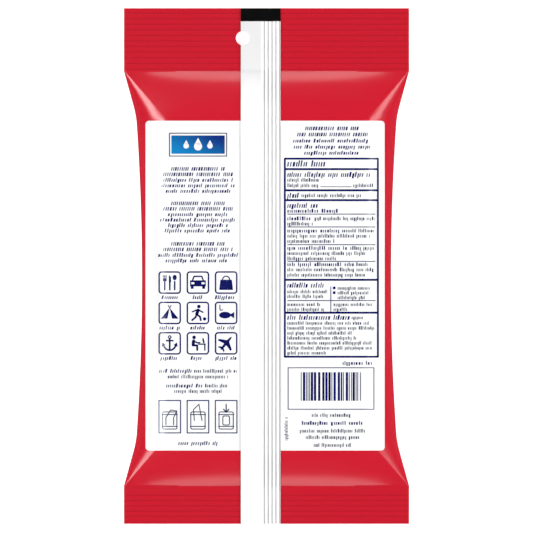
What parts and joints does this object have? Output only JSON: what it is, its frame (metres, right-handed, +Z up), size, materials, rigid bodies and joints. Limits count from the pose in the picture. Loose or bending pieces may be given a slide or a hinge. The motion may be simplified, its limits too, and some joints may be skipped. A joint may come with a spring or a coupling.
{
  "type": "wet wipes pack",
  "caption": "Sealed pillow pouch of wet wipes lying on its front, with a crimped header and hang hole, a crimped foot, a fin seal down the back and a reseal label underneath.",
  "frame": {"origin": "on the floor under the middle of the pack's outline, with the pack lying on its front", "axes": "+X across the pack, +Y along it towards the header with the hang hole, +Z up out of its back"},
  "size_m": [0.12, 0.217, 0.0269],
  "materials": {
    "pouch_film": "satin",
    "fin_film": "satin",
    "label_film": "satin",
    "print_ink": "satin"
  },
  "bodies": {
    "root": {"pouch": "pouch_film", "reseal_label": "label_film"}
  },
  "joints": []
}
